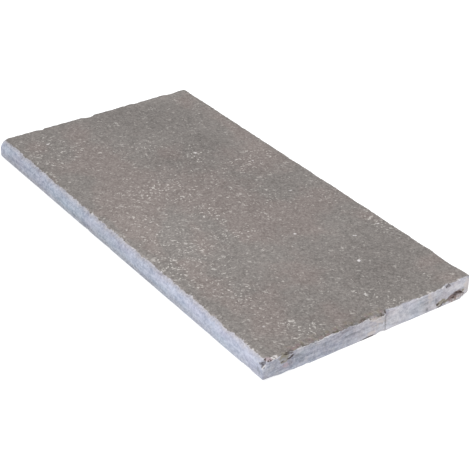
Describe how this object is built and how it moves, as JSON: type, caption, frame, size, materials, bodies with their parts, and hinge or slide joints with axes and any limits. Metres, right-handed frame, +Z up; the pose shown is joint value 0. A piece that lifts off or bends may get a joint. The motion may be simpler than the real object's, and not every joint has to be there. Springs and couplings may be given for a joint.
{
  "type": "stone pool coping",
  "caption": "Rectangular pool coping slab of aged blue limestone, rounded along one long edge, with a flat bed and square joint faces.",
  "frame": {"origin": "centre of the bed, the flat underside that the stone is laid on", "axes": "+X along the stone, parallel to its rounded nose; +Y from the nose back to the paving joint; +Z up, out of the walking face"},
  "size_m": [0.6, 0.3, 0.027],
  "materials": {
    "aged_limestone": "matt aged walking face in brown grey with pale fossil flecks; blue grey nose and sawn ends"
  },
  "bodies": {
    "root": {"coping_stone": "aged_limestone"}
  },
  "joints": []
}
